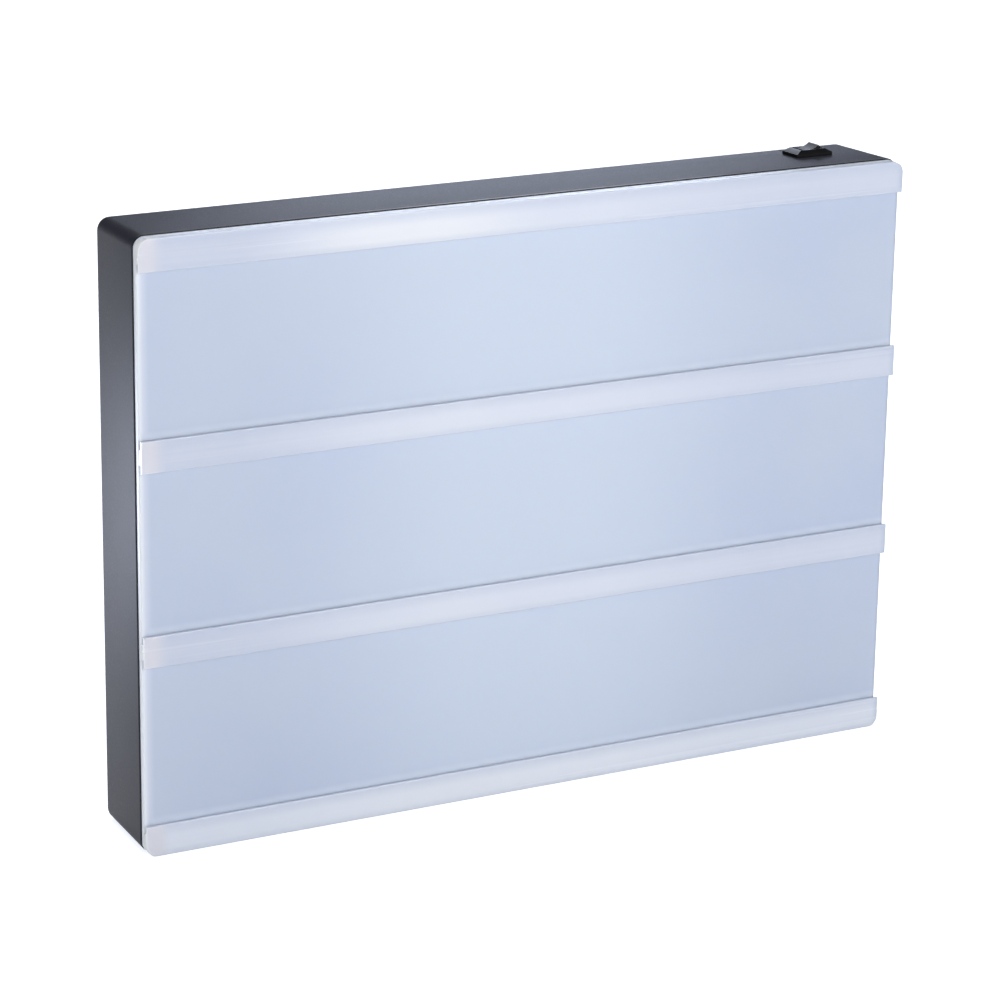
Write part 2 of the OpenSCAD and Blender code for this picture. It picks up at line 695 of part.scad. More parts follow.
module battery_contacts() color(steel) {
    for (i = [0, cells - 1]) {
        contact_plate(i, i, true);
        block(lane_x(i) - lug_half, lane_x(i) + lug_half, lug_y, lug_y + contact_t,
            bay_z1 - contact_t, bay_z1 + inner_wall + lug_l);
    }
    for (i = [1 : 2 : cells - 2]) contact_plate(i, i + 1, true);
    for (i = [0 : 2 : cells - 1]) contact_plate(i, i + 1, false);
    for (i = [0 : cells - 1]) contact_nub(i, i % 2 == 1);
}

spring_path = coil_path(spring_r0, spring_r1, spring_l, spring_turns, spring_wire);

module battery_springs() color(steel) for (i = [0 : cells - 1])
    if (i % 2 == 0) translate([lane_x(i), lane_y, bay_z1 - contact_t]) rotate([180, 0, 0])
        coil(spring_path, spring_wire);
    else translate([lane_x(i), lane_y, bay_z0 + contact_t]) coil(spring_path, spring_wire);

// ---- battery door ----

notch_half = latch_half - 0.7;
notch_l = latch_room - 1;

module battery_door() color(slate) {
    x1 = recess_half - door_gap;
    z1 = recess_z1 - door_gap;
    slab(back_y - door_t, back_y) difference() {
        soft_rect(-x1, recess_z0 + door_gap, x1, z1, recess_r - door_gap);
        translate([-notch_half, z1 - notch_l]) square([2 * notch_half, notch_l + cut]);
    }
    for (s = [-1, 1]) {
        block(s * tab_x - tab_w / 2, s * tab_x + tab_w / 2, tab_y, tab_y + tab_t,
            recess_z0 - tab_reach, recess_z0 + tab_root);
        block(s * tab_x - tab_w / 2, s * tab_x + tab_w / 2, tab_y, back_y - door_t + slice,
            recess_z0 + door_gap, recess_z0 + tab_root);
    }
}

leaf_t = 1.2;
bend_r = 2.2;                               // outer radius of the leaf's turn
bend_y = ledge_y - latch_depth + bend_r + 1;
bend_z = recess_z1 - door_gap - notch_l + bend_r;
pad_t = 1.4;
pad_z = bend_z + bend_r - leaf_t;
pad_h = 2.8;
groove_w = 0.4;                             // width and depth of a grip groove in the pad
groove_d = 0.3;

// Section of the latch in depth and height
module latch_section() {
    translate([bend_y, bend_z - bend_r]) square([back_y - bend_y, leaf_t]);
    intersection() {
        translate([bend_y, bend_z]) difference() {
            circle(bend_r);
            circle(bend_r - leaf_t);
        }
        translate([bend_y - bend_r, bend_z - bend_r]) square([bend_r, 2 * bend_r]);
    }
    translate([bend_y, pad_z]) square([back_y - bend_y - pad_t / 2, leaf_t]);
    translate([back_y - pad_t, pad_z]) difference() {
        square([pad_t, pad_h]);
        for (i = [1 : 3]) translate([pad_t - groove_d, i * pad_h / 4 - groove_w / 2])
            square([groove_d + cut, groove_w]);
    }
}

// The bent finger that holds the door shut: a leaf from the door, a round turn, a pad with grip
// grooves for a fingertip, and a hook behind the recess's edge
module door_latch() color(slate) {
    x = notch_half - 0.6;
    translate([-x, 0, 0]) rotate([90, 0, 90]) linear_extrude(2 * x) latch_section();
    block(-hook_half, hook_half, ledge_y - 1.8, floor_y - touch, pad_z, recess_z1 + hook_lap);
}

// ---- rocker switch ----

module at_switch() {
    translate([switch_x, switch_y, top_z(switch_y)]) rotate([-top_tilt, 0, 0]) children();
}

module centred(l, w, z0, z1) {
    translate([-l / 2, -w / 2, z0]) cube([l, w, z1 - z0]);
}

module cross_rod(z, d, w) {
    translate([0, w / 2, z]) rotate([90, 0, 0]) cylinder(d = d, h = w);
}

module switch_body() color(black) at_switch() difference() {
    union() {
        hull() {
            centred(bezel_l, bezel_w, 0, bezel_side);
            centred(mouth_l + 0.8, mouth_w + 0.8, 0, bezel_crown);
        }
        centred(body_l, body_w, -body_depth, slice);
        for (s = [-1, 1]) hull() {
            translate([s * body_l / 2, 0, -wall_t - 0.5]) cube([1.2, 5, slice], center = true);
            translate([s * (body_l / 2 - 0.1), 0, -wall_t - 3.5]) cube([0.2, 5, slice], center = true);
        }
    }
    centred(mouth_l, mouth_w, -body_depth + 1.2, bezel_crown + cut);
    cross_rod(pivot_z, 2 * (pivot_r + pivot_gap), mouth_w + 1.4);
    for (x = [0, side_blade_x]) translate([x, 0, 0])
        centred(blade_t + 0.1, blade_w + 0.1, -body_depth - cut, -body_depth + 1.2 + cut);
}

// Half of the rocker's outline, drawn level about its pivot: a round underside and a raised tip
tip_x = 3.4;
tip_z = 3.0;
valley_z = 2.15;

module rocker_outline() {
    dish_r = (tip_x * tip_x + pow(tip_z - valley_z, 2)) / (2 * (tip_z - valley_z));
    difference() {
        union() {
            intersection() {
                circle(rocker_r, $fn = 96);
                translate([-rocker_r, -rocker_r]) square([2 * rocker_r, rocker_r + 1.6]);
            }
            polygon([[-rocker_r * cos(17), rocker_r * sin(17)], [-tip_x, tip_z], [tip_x, tip_z],
                [rocker_r * cos(17), rocker_r * sin(17)]]);
        }
        translate([0, valley_z + dish_r]) circle(dish_r, $fn = 96);
    }
}

// Turns with the rocker: rest_tilt is the photographed side
module rocked() {
    at_switch() translate([0, 0, pivot_z]) rotate([0, -rest_tilt, 0]) children();
}

stem_w = 3.4;
stem_low = -7.2;
stem_bore = 1.8;
spring_top = -2.4;
plunger_tip = -8.5;

module switch_rocker() color(black) rocked() difference() {
    union() {
        translate([0, rocker_w / 2, 0]) rotate([90, 0, 0]) linear_extrude(rocker_w) rocker_outline();
        translate([-stem_w / 2, -stem_w / 2, stem_low]) cube([stem_w, stem_w, -stem_low]);
        translate([0, rocker_w / 2 + 0.6, 0]) rotate([90, 0, 0])
            cylinder(r = pivot_r, h = rocker_w + 1.2);
    }
    translate([0, 0, stem_low - cut]) cylinder(d = stem_bore, h = spring_top - stem_low + cut);
}

module switch_plunger() color(brass) rocked() {
    d = stem_bore - 2 * pivot_gap;
    translate([0, 0, plunger_tip + d / 2]) sphere(d = d);
    translate([0, 0, plunger_tip + d / 2]) cylinder(d = d, h = 1.7);
}

push_l = spring_top - (plunger_tip + (stem_bore - 2 * pivot_gap) / 2 + 1.7) - 0.1;
push_path = coil_path(0.6, 0.6, push_l, 4, 0.25);

module switch_spring() color(steel) rocked()
    translate([0, 0, spring_top - 0.05]) rotate([180, 0, 0]) coil(push_path, 0.25);

// A shallow V of copper that see-saws on the middle terminal
module switch_lever() color([0.80, 0.52, 0.35]) at_switch() translate([0, 0, lever_z])
    rotate([0, lever_bend, 0]) translate([0, 1.6, 0]) rotate([90, 0, 0]) linear_extrude(3.2)
        polygon([[0, 0], [lever_half, lever_half * tan(lever_bend)],
            [lever_half, lever_half * tan(lever_bend) + lever_t], [0, lever_t],
            [-lever_half, lever_half * tan(lever_bend) + lever_t],
            [-lever_half, lever_half * tan(lever_bend)]]);

module switch_terminals() color(brass) at_switch() {
    centred(blade_t, blade_w, -body_depth - blade_l, lever_z - 0.05);
    translate([side_blade_x, 0, 0]) {
        centred(blade_t, blade_w, -body_depth - blade_l, -body_depth + 1.2);
        translate([0, 0, -body_depth + 1.2]) cylinder(d = 1.4, h = 0.7);
    }
}

// ---- leads ----

module hop(side, za, zb) {
    x0 = side * (strip_l / 2 - lead_end_in);
    for (i = [0, 1]) {
        x1 = side * (lead_x + lead_step * (1 - i));
        da = hop_first + hop_step * i;
        wire([[x0, lead_y, za - da], [x1, lead_y, za - da], [x1, lead_y, zb + da],
            [x0, lead_y, zb + da]], wire_d);
    }
}

module led_leads() color([0.75, 0.10, 0.10]) for (s = [-1, 1]) {
    hop(s, strip_top_z, strip_mid_z);
    hop(s, strip_mid_z, strip_low_z);
}

module feed_leads() color([0.75, 0.10, 0.10]) for (i = [0, 1]) {
    x = inlet_x + feed_side + lead_step * i;
    y = board_y - plug_block[1] * 0.64;
    z = inlet_z + plug_rise + plug_block[2];
    wire([[x, y, z + 0.05], [x, y, z + feed_rise], [x, lead_y, z + feed_rise],
        [x, lead_y, strip_mid_z - strip_w / 2 + wire_d]], wire_d);
}

module battery_leads() color([0.10, 0.10, 0.12]) {
    end_y = lug_y - wire_d / 2 - slice;
    lug_z = bay_z1 + inner_wall;
    for (i = [0, 1]) {
        x0 = lane_x(i ? cells - 1 : 0);
        x1 = bay_half + inner_wall + wire_d + lead_step * (1 - i);
        z0 = i ? lug_z + battery_lead_rise : recess_z1 + inner_wall + wire_d;
        z1 = inlet_z + battery_lead_end - lead_step * i;
        wire([[x0, end_y, lug_z + 1], [x0, end_y, z0], [x1, end_y, z0], [x1, end_y, z1],
            [x1, board_lead_y, z1],
            [inlet_x - board_size[0] / 2 + lead_end_in, board_lead_y, z1]], wire_d);
    }
}

module switch_leads() color([0.10, 0.10, 0.12]) {
    low = -body_depth - blade_l;
    y = switch_y + low * sin(top_tilt);
    z = top_z(switch_y) + low - wire_d / 2 - 0.1;
    for (i = [0, 1]) {
        x0 = switch_x + (i ? 0 : side_blade_x);
        x1 = lead_x + lead_step * i;
        z0 = z - switch_lead_drop - lead_step * (1 - i);
        z1 = inlet_z + switch_lead_end - lead_step * i;
        wire([[x0, y, z], [x0, y, z0], [x1, y, z0], [x1, y, z1], [x1, board_lead_y, z1],
            [inlet_x + board_size[0] / 2 - lead_end_in, board_lead_y, z1]], wire_d);
    }
}

echo(least_gap_of_battery_springs = coil_gap(spring_path, spring_wire));
echo(least_gap_of_switch_spring = coil_gap(push_path, 0.25));

rear_housing();
front_panel();
rail_top();
rail_upper();
rail_lower();
rail_bottom();
panel_screws();
reflector_sheet();
led_strip_top();
led_strip_bottom();
led_strip_left();
led_strip_right();
leds_top();
leds_bottom();
leds_left();
leds_right();
board_screws();
control_board();
board_parts();
inlet_jack();
inlet_pin();
inlet_blades();
battery_contacts();
battery_springs();
battery_door();
door_latch();
switch_body();
switch_rocker();
switch_plunger();
switch_spring();
switch_lever();
switch_terminals();
battery_leads();
led_leads();
feed_leads();
switch_leads();
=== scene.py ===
"""Looks of a light box with letter rails: materials, camera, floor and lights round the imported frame.

Metres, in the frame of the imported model: X right, Y to the back, Z up.
"""

import json
import math

import bpy
from mathutils import Matrix, Vector


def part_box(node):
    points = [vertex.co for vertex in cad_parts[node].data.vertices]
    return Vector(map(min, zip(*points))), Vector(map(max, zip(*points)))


MM = 0.001

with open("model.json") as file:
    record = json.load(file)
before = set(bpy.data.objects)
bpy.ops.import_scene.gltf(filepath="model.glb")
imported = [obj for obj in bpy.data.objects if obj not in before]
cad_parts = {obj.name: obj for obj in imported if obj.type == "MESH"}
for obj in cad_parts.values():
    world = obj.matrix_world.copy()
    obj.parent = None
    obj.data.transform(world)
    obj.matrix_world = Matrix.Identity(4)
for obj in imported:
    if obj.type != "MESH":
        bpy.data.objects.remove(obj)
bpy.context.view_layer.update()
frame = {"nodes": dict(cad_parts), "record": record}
nodes = frame["nodes"]

# ---- camera ----

CAM_AZIMUTH = math.radians(-27.762)
CAM_ELEVATION = math.radians(17.56)
CAM_ROLL = math.radians(0.873)
CAM_DISTANCE = 1.31137
CAM_TARGET = Vector((-0.01409, -0.020, 0.1123))
CAM_FOCAL_PX = 3706.08
IMAGE_PX = 1000
SENSOR_MM = 36.0
CLIP_START = 0.01
CLIP_END = 20


def make_camera():
    """The camera that sees the box as the photo does."""
    back = Vector(
        (
            math.sin(CAM_AZIMUTH) * math.cos(CAM_ELEVATION),
            -math.cos(CAM_AZIMUTH) * math.cos(CAM_ELEVATION),
            math.sin(CAM_ELEVATION),
        )
    )
    level = Vector((0, 0, 1)).cross(back).normalized()
    upright = back.cross(level)
    right = math.cos(CAM_ROLL) * level + math.sin(CAM_ROLL) * upright
    up = -math.sin(CAM_ROLL) * level + math.cos(CAM_ROLL) * upright
    turn = Matrix((right, up, back)).transposed().to_4x4()
    data = bpy.data.cameras.new("camera")
    data.sensor_width = SENSOR_MM
    data.lens = CAM_FOCAL_PX * SENSOR_MM / IMAGE_PX
    data.clip_start = CLIP_START
    data.clip_end = CLIP_END
    camera = bpy.data.objects.new("camera", data)
    camera.matrix_world = Matrix.Translation(CAM_TARGET + back * CAM_DISTANCE) @ turn
    bpy.context.scene.collection.objects.link(camera)
    bpy.context.scene.camera = camera


# ---- node helpers ----

# Sockets of a colour mix: its two colours and its result
MIX_A = 6
MIX_B = 7
MIX_RESULT = 2
BEVEL_SAMPLES = 6
# Stretches of a noise's range: one that holds most of its values and one that holds nearly all
MOST = (0.35, 0.65)
NEARLY_ALL = (0.3, 0.7)
# A normal's part along an axis, from a face that lies along the axis to one that is square to it
SQUARE = (0.4, 0.8)
# How well a softened normal matches the face's own, from a flat face to an edge with a painted highlight
EDGE_MATCH = (0.99, 0.9)


class Tree:
    """A node tree, with a short call that adds a node and joins it."""

    def __init__(self, tree):
        self.tree = tree

    def add(self, kind, inputs=None, **settings):
        """A new node. inputs maps socket names or numbers to values or to other nodes' sockets."""
        made = self.tree.nodes.new(kind)
        for key, value in settings.items():
            setattr(made, key, value)
        for key, value in (inputs or {}).items():
            socket = made.inputs[key]
            if isinstance(value, bpy.types.NodeSocket):
                self.tree.links.new(value, socket)
            else:
                socket.default_value = value
        return made


class Graph(Tree):
    """A material's node tree, with short calls for what the materials share."""

    def __init__(self, name):
        self.material = bpy.data.materials.new(name)
        self.material.use_nodes = True
        super().__init__(self.material.node_tree)
        self.tree.nodes.clear()

    def point(self):
        """The point on the object, in metres."""
        return self.add("ShaderNodeTexCoord").outputs["Object"]

    def axis(self, name):
        """One coordinate of the point on the object, in metres."""
        return self.add("ShaderNodeSeparateXYZ", {0: self.point()}).outputs[name]

    def noise(self, cells, detail=2, rough=0.5, stretch=(1, 1, 1)):
        """Noise with a number of cells to the metre, times stretch along each axis."""
        place = self.add("ShaderNodeMapping", {"Vector": self.point(), "Scale": stretch}).outputs[0]
        inputs = {"Vector": place, "Scale": cells, "Detail": detail, "Roughness": rough}
        return self.add("ShaderNodeTexNoise", inputs).outputs["Fac"]

    def remap(self, value, span, out=(0, 1), smooth=False):
        """Takes a value from one span of numbers to another, and holds it at the ends."""
        inputs = {0: value, 1: span[0], 2: span[1], 3: out[0], 4: out[1]}
        kind = "SMOOTHSTEP" if smooth else "LINEAR"
        return self.add("ShaderNodeMapRange", inputs, interpolation_type=kind).outputs[0]

    def math(self, operation, a, b=0.0):
        """An operation on one or two values."""
        return self.add("ShaderNodeMath", {0: a, 1: b}, operation=operation).outputs[0]

    def times(self, a, b):
        """The product of two values."""
        return self.math("MULTIPLY", a, b)

    def off(self, value, middle):
        """How far a value lies from a middle, to either side."""
        return self.math("ABSOLUTE", self.math("SUBTRACT", value, middle))

    def mix(self, share, a, b):
        """Colour a where share is 0 and b where it is 1."""
        made = self.add("ShaderNodeMix", {0: share, MIX_A: a, MIX_B: b}, data_type="RGBA")
        return made.outputs[MIX_RESULT]

    def shades(self, value, span, dark, light):
        """From one 8-bit colour to another, as a value runs through a span."""
        return self.mix(self.remap(value, span), linear(*dark), linear(*light))

    def coats(self, body, *coats):
        """A colour under coats, each with its share and its 8-bit colour."""
        for share, colour in coats:
            body = self.mix(share, body, linear(*colour))
        return body

    def across(self, name, span=SQUARE):
        """1 on faces about square to an axis and 0 on faces along it."""
        normal = self.add("ShaderNodeNewGeometry").outputs["Normal"]
        part = self.add("ShaderNodeSeparateXYZ", {0: normal}).outputs[name]
        return self.remap(self.math("ABSOLUTE", part), span)

    def soft_normal(self, radius):
        """The normal, with edges softened by a radius."""
        return self.add("ShaderNodeBevel", {"Radius": radius}, samples=BEVEL_SAMPLES).outputs[0]

    def edge_highlight(self, radius):
        """1 along edges within the radius and 0 on flat faces, which marks where an edge highlight is
        painted.
        """
        soft = self.soft_normal(radius)
        face = self.add("ShaderNodeNewGeometry").outputs["True Normal"]
        match = self.add("ShaderNodeVectorMath", {0: soft, 1: face}, operation="DOT_PRODUCT")
        return self.remap(match.outputs["Value"], EDGE_MATCH)

    def bump(self, height, distance, strength, edge=0.0):
        """A normal from a height, over edges softened by a radius."""
        inputs = {"Height": height, "Distance": distance, "Strength": strength}
        if edge:
            inputs["Normal"] = self.soft_normal(edge)
        return self.add("ShaderNodeBump", inputs).outputs[0]

    def surface(self, shader):
        """The material, with a shader node as its surface."""
        self.add("ShaderNodeOutputMaterial", {0: shader.outputs[0]})
        return self.material

    def principled(self, **inputs):
        """The material, with a principled shader that has the given sockets."""
        names = {key.replace("_", " "): value for key, value in inputs.items()}
        return self.surface(self.add("ShaderNodeBsdfPrincipled", names))


def linear(red, green, blue):
    """An 8-bit sRGB colour as a linear colour with alpha."""
    channels = []
    for value in (red, green, blue):
        value /= 255
        channels.append(value / 12.92 if value <= 0.04045 else ((value + 0.055) / 1.055) ** 2.4)
    return (*channels, 1.0)


# ---- places on the model ----

panel_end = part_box("front_panel")[1]
rail_low, rail_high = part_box("rail_bottom")
HALF_WIDTH = panel_end.x
PANEL_TOP = panel_end.z
# The tray's front edge
RIM_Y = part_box("rear_housing")[0].y
# Half of a rail's height, which is also how high the bottom rail's middle line lies
RAIL_HALF = (rail_high.z - rail_low.z) / 2
RAIL_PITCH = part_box("rail_lower")[0].z - rail_low.z
# How far the painted light of the middle of the front reaches to either side, from full to none
MIDDLE_REACH = (15 * MM, 115 * MM)


def from_left(start, end):
    """A span of X, from two distances to the front's left end."""
    return (start - HALF_WIDTH, end - HALF_WIDTH)


def from_right(start, end):
    """A span of X, from two distances to the front's right end."""
    return (HALF_WIDTH - start, HALF_WIDTH - end)


def middle_light(g, x):
    """1 at the middle of the front and 0 towards its ends, where the painted light is strongest and
    weakest.
    """
    return g.remap(g.math("ABSOLUTE", x), MIDDLE_REACH, (1, 0), smooth=True)


def rail_height(g):
    """Height over the nearest rail's middle line: -1 at the rail's bottom edge and 1 at its top edge."""
    rows = g.math("DIVIDE", g.math("SUBTRACT", g.axis("Z"), RAIL_HALF), RAIL_PITCH)
    off_row = g.math("SUBTRACT", rows, g.math("ROUND", rows))
    return g.times(off_row, RAIL_PITCH / RAIL_HALF)


# ---- materials ----

# Stretch of the speckle's range in which paler specks come up
SPECKS = (0.55, 0.75)
# The painted highlight on the rim: how far it reaches back from the tray's edge and where it starts above
# the panel
RIM_BACK = (RIM_Y + 0.8 * MM, RIM_Y + 1.3 * MM)
RIM_ABOVE = (PANEL_TOP + 0.22 * MM, PANEL_TOP + 0.34 * MM)


def housing_plastic():
    """Slate-grey moulding with a fine spark-eroded grain and a painted highlight along the rim at the top.
    """
    g = Graph("housing_plastic")
    cloud = g.noise(14, detail=3)
    speckle = g.noise(1500, rough=0.6)
    grain = g.noise(1900, detail=3, rough=0.65)
    rim_light = g.times(g.remap(g.axis("Y"), RIM_BACK, (1, 0)), g.remap(g.axis("Z"), RIM_ABOVE))
    rim_highlight = g.times(rim_light, g.remap(middle_light(g, g.axis("X")), (0, 1), (0.2, 1)))
    return g.principled(
        Base_Color=g.coats(
            g.shades(cloud, MOST, (24, 25, 38), (28, 29, 42)),
            (g.remap(speckle, SPECKS, (0, 0.3)), (80, 84, 96)),
            # painted highlight along the tray's rounded front edge, strongest in the middle
            (rim_highlight, (146, 146, 150)),
        ),
        Roughness=g.remap(speckle, NEARLY_ALL, (0.43, 0.53)),
        Specular_IOR_Level=0.3,
        Normal=g.bump(grain, 0.08 * MM, strength=0.4, edge=0.25 * MM),
    )


# What makes the plate and the rails milky: light that travels inside them, as far as the scale says
MILKY = {"Subsurface_Weight": 1.0, "Subsurface_Radius": (1, 1, 1), "Subsurface_Scale": 1.5 * MM}
MILKY_EDGE = 0.2 * MM

# Bands of the plate, as distances to its ends: the painted light of the rim behind it, its painted lit lip
# and its painted shaded end
PLATE_RIM = (1.5 * MM, 4.4 * MM)
PLATE_LIP = (0.6 * MM, 2 * MM)
PLATE_END = (1.4 * MM, 0.4 * MM)
# Reach of the painted light on the plate at each rail's top edge, in half heights of a rail
RAIL_LINE = (0, 0.5)


def milky_plate():
    """Translucent white plate. The rim behind it shows as a paler band of painted light at its left end."""
    g = Graph("milky_plate")
    x = g.axis("X")
    rim_light = g.remap(x, from_left(*PLATE_RIM), (1, 0), smooth=True)
    lip = g.remap(x, from_left(*PLATE_LIP), (0.7, 0), smooth=True)
    end = g.remap(x, from_right(*PLATE_END), (0, 0.6), smooth=True)
    rail_edge_light = g.remap(g.off(rail_height(g), 1), RAIL_LINE, (0.6, 0))
    fine = g.noise(900)
    return g.principled(
        Base_Color=g.coats(
            g.shades(g.noise(16), MOST, (195, 206, 227), (199, 209, 227)),
            # painted light: a brighter middle, a pale line along each rail's top edge, the rim's band and a
            # lit lip; painted shade at the right end
            (middle_light(g, x), (209, 219, 236)),
            (rail_edge_light, (226, 233, 246)),
            (rim_light, (214, 220, 235)),
            (lip, (236, 240, 247)),
            (end, (172, 182, 203)),
        ),
        Roughness=g.remap(fine, NEARLY_ALL, (0.30, 0.38)),
        Normal=g.bump(fine, 0.02 * MM, strength=0.2, edge=MILKY_EDGE),
        **MILKY,
    )


# Cells to the metre of the marks drawn along a rail, fine and broad
FINE_MARKS = (7, 700, 900)
BROAD_MARKS = (3, 150, 260)
# Bands of the rails, as distances to their ends
RAIL_START = (3.5 * MM, 9.5 * MM)
RAIL_END = (3 * MM, 0)
# The sheen that grows towards the top rail: its middle, its reach to either side and its heights
SHEEN_X = -55 * MM
SHEEN_REACH = (10 * MM, 65 * MM)
SHEEN_HEIGHTS = (150 * MM, 205 * MM)
# Where the rails turn paler to the right, and from where down they turn paler
PALE_RIGHT = (50 * MM, 130 * MM)
PALE_LOW = (12 * MM, 70 * MM)
# The shade along a rail's edges, as heights over its middle line
SHADE_TOP = (0.1, 1)
SHADE_BOTTOM = (-1, -0.5)
# The painted shade on the ledges ends between these heights, so the top rail's upper edge keeps its own
# tone
LEDGE_HEIGHTS = (PANEL_TOP - 3 * MM, PANEL_TOP - 2 * MM)


def rail_plastic():
    """Polished extrusion: draw lines along its length, a paler left end and painted shade along its edges
    and ledges, with a painted sheen, a brighter middle and lit left end faces.
    """
    g = Graph("rail_plastic")
    x = g.axis("X")
    z = g.axis("Z")
    fine = g.noise(1, detail=3, rough=0.6, stretch=FINE_MARKS)
    broad = g.noise(1, stretch=BROAD_MARKS)
    start = g.remap(x, from_left(*RAIL_START), (0.9, 0), smooth=True)
    end = g.remap(x, from_right(*RAIL_END), (0, 0.6), smooth=True)
    spot = g.remap(g.off(x, SHEEN_X), SHEEN_REACH, (1, 0), smooth=True)
    sheen = g.times(g.remap(z, SHEEN_HEIGHTS, (0.15, 0.55)), spot)
    height = rail_height(g)
    top_shade = g.remap(height, SHADE_TOP, (0, 0.5), smooth=True)
    bottom_shade = g.remap(height, SHADE_BOTTOM, (0.4, 0), smooth=True)
    lit_left_faces = g.times(start, g.across("X"))
    shaded_ledges = g.times(g.across("Z"), g.remap(z, LEDGE_HEIGHTS, (1, 0)))
    return g.principled(
        Base_Color=g.coats(
            g.shades(fine, NEARLY_ALL, (204, 212, 229), (210, 216, 231)),
            # painted light: a brighter middle, a sheen towards the top rail and lit left end faces; painted
            # shade along the edges and on the ledges
            (middle_light(g, x), (222, 227, 240)),
            (g.remap(x, PALE_RIGHT, (0, 0.2)), (228, 232, 243)),
            (sheen, (246, 248, 253)),
            (g.remap(z, PALE_LOW, (0.55, 0)), (236, 240, 249)),
            (g.math("MAXIMUM", top_shade, bottom_shade), (194, 203, 222)),
            (start, (221, 221, 230)),
            (end, (190, 202, 222)),
            (lit_left_faces, (245, 247, 251)),
            (shaded_ledges, (208, 215, 230)),
        ),
        Roughness=g.remap(broad, MOST, (0.16, 0.28)),
        Normal=g.bump(fine, 0.02 * MM, strength=0.12, edge=MILKY_EDGE),
        **MILKY,
    )


# A normal's part along Y, from a level face to one that slopes to the front or back
SLOPING = (0.15, 0.35)


def gloss_black(name, roughness):
    """Black moulding with faint swirls, glossier on top, with a painted sheen that makes its top greyer and
    a painted highlight along the top's edges.
    """
    g = Graph(name)
    swirl = g.noise(300)
    top = g.times(g.across("Z"), g.math("SUBTRACT", 1, g.across("Y", SLOPING)))
    return g.principled(
        Base_Color=g.coats(
            g.shades(swirl, NEARLY_ALL, (6, 6, 8), (14, 14, 17)),
            # painted sheen on the level top faces, and a painted highlight along their edges
            (top, (54, 56, 64)),
            (g.times(top, g.edge_highlight(0.4 * MM)), (176, 178, 186)),
        ),
        Roughness=g.remap(swirl, NEARLY_ALL, roughness),
        Specular_IOR_Level=g.remap(top, (0, 1), (0.2, 0.7)),
        Normal=g.bump(swirl, 0.01 * MM, strength=0.05, edge=0.25 * MM),
    )


def metal(name, dark, light, roughness):
    """Bright metal with a fine mottle."""
    g = Graph(name)
    mottle = g.noise(900, detail=3, rough=0.6)
    return g.principled(
        Base_Color=g.shades(mottle, NEARLY_ALL, dark, light),
        Metallic=1.0,
        Roughness=g.remap(mottle, NEARLY_ALL, roughness),
        Normal=g.bump(mottle, 0.01 * MM, strength=0.1),
    )


def speckled(name, dark, light, cells, roughness):
    """A non-metal with a cloudy tone, of some cells to the metre, and a fine grain."""
    g = Graph(name)
    cloud = g.noise(cells, detail=3, rough=0.6)
    return g.principled(
        Base_Color=g.shades(cloud, NEARLY_ALL, dark, light),
        Roughness=g.remap(cloud, NEARLY_ALL, roughness),
        Normal=g.bump(g.noise(1800), 0.02 * MM, strength=0.25, edge=0.1 * MM),
    )


RING_PITCH = 1.5 * MM
# Stretch of the rings' wave in which their paint starts
RING_START = (0.72, 0.8)


def banded_resistors():
    """Tan lacquer with brown rings."""
    g = Graph("banded_resistors")
    wave = g.math("SINE", g.times(g.axis("X"), 2 * math.pi / RING_PITCH))
    cloud = g.noise(500)
    return g.principled(
        Base_Color=g.coats(
            linear(196, 172, 128),
            (cloud, (214, 192, 150)),
            (g.remap(wave, RING_START), (104, 58, 34)),
        ),
        Roughness=g.remap(cloud, NEARLY_ALL, (0.25, 0.4)),
        Normal=g.bump(cloud, 0.02 * MM, strength=0.2),
    )


def make_looks():
    """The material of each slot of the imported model."""
    return {
        "housing": housing_plastic(),
        "panel": milky_plate(),
        "rail": rail_plastic(),
        "switch_black": gloss_black("switch_black", (0.38, 0.46)),
        "rocker_black": gloss_black("rocker_black", (0.44, 0.52)),
        "screw_steel": metal("plated_steel", (150, 152, 156), (196, 198, 202), (0.22, 0.38)),
        "contact_steel": metal("nickel_plate", (176, 178, 180), (214, 215, 216), (0.28, 0.40)),
        "brass": metal("brass", (186, 152, 84), (222, 190, 118), (0.2, 0.34)),
        "copper": metal("copper", (186, 112, 74), (222, 150, 108), (0.2, 0.32)),
        "reflector": speckled("reflector_film", (236, 237, 238), (246, 246, 247), 60, (0.5, 0.65)),
        "strip_board": speckled("white_mask", (222, 224, 222), (236, 238, 236), 200, (0.35, 0.5)),
        "led": speckled("phosphor", (236, 214, 120), (250, 236, 168), 900, (0.3, 0.45)),
        "green_board": speckled("green_mask", (20, 84, 48), (34, 112, 66), 260, (0.25, 0.4)),
        "board_part": banded_resistors(),
        "black_plastic": speckled("black_moulding", (22, 22, 24), (34, 34, 37), 300, (0.4, 0.55)),
        "wire_black": speckled("black_insulation", (24, 24, 27), (38, 38, 42), 700, (0.4, 0.55)),
        "wire_red": speckled("red_insulation", (158, 18, 18), (190, 30, 28), 700, (0.38, 0.5)),
    }


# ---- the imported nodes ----

SMOOTH_ANGLE = math.radians(32)
WELD_DISTANCE = 0.001 * MM


